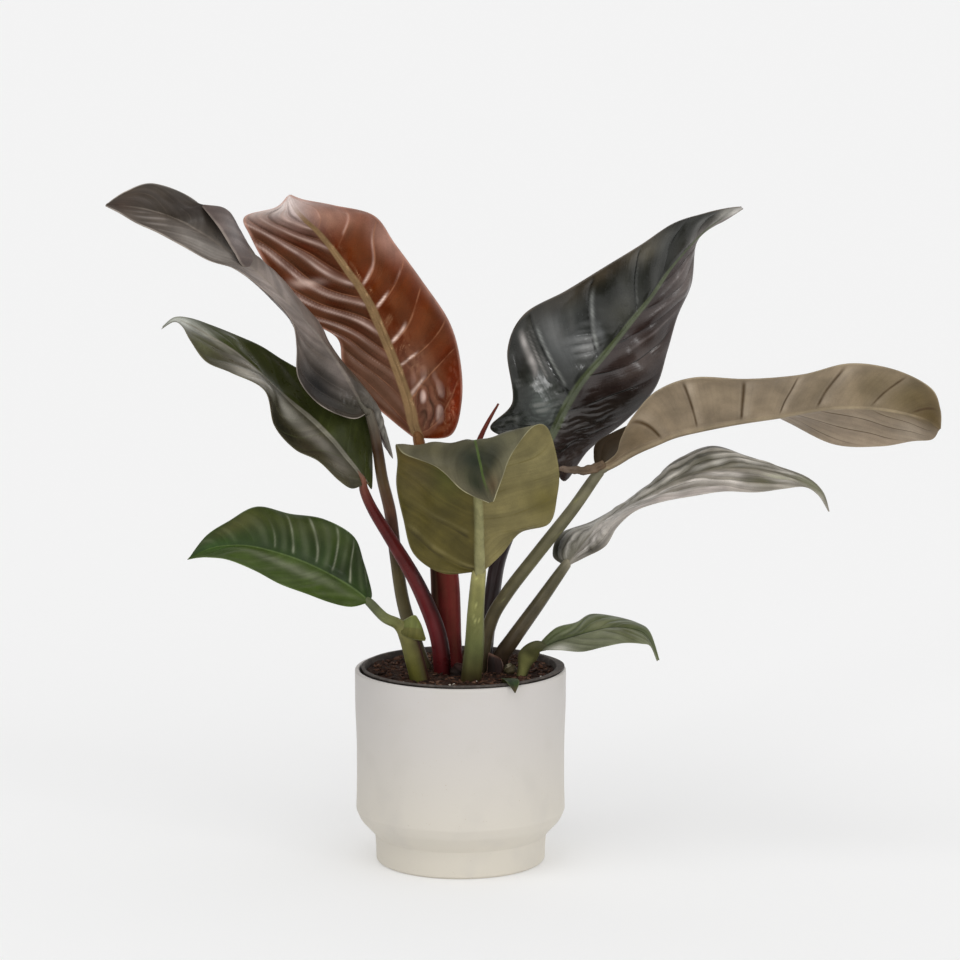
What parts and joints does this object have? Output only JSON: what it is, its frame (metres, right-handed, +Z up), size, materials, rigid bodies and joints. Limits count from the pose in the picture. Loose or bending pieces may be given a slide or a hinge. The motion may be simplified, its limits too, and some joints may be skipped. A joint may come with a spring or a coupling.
{
  "type": "potted philodendron",
  "caption": "Potted imperial red philodendron: long glossy leaves in dark green, bronze and copper on upright petioles, in a cream cover pot with a stepped-in foot.",
  "frame": {"origin": "middle of the pot's flat base", "axes": "+Z up; the pictured side faces -Y, so that +X is its right; the leaves spread mostly along X"},
  "size_m": [0.6413, 0.2061, 0.5443],
  "materials": {
    "pot": "matte cream glaze",
    "liner": "matte",
    "soil": "loose bark and coir mix",
    "leaf_umber": "glossy leaf",
    "leaf_copper": "glossy leaf",
    "leaf_dark": "glossy leaf",
    "leaf_tan": "satin leaf",
    "leaf_front": "satin leaf",
    "leaf_dusky": "glossy leaf",
    "leaf_lower": "glossy leaf",
    "leaf_silver": "glossy leaf",
    "leaf_small": "satin leaf",
    "old_tip": "satin leaf",
    "spear": "satin",
    "crown": "rough bark",
    "stub": "matte cut face",
    "husk": "dry papery"
  },
  "bodies": {
    "root": {"pot": "pot", "liner": "liner", "soil": "soil", "leaf_umber": "leaf_umber", "leaf_copper": "leaf_copper", "leaf_dark": "leaf_dark", "leaf_tan": "leaf_tan", "leaf_front": "leaf_front", "leaf_dusky": "leaf_dusky", "leaf_lower": "leaf_lower", "leaf_silver": "leaf_silver", "leaf_small": "leaf_small", "old_tip": "old_tip", "spear": "spear", "crown": "crown", "stub": "stub", "husk": "husk"}
  },
  "joints": []
}
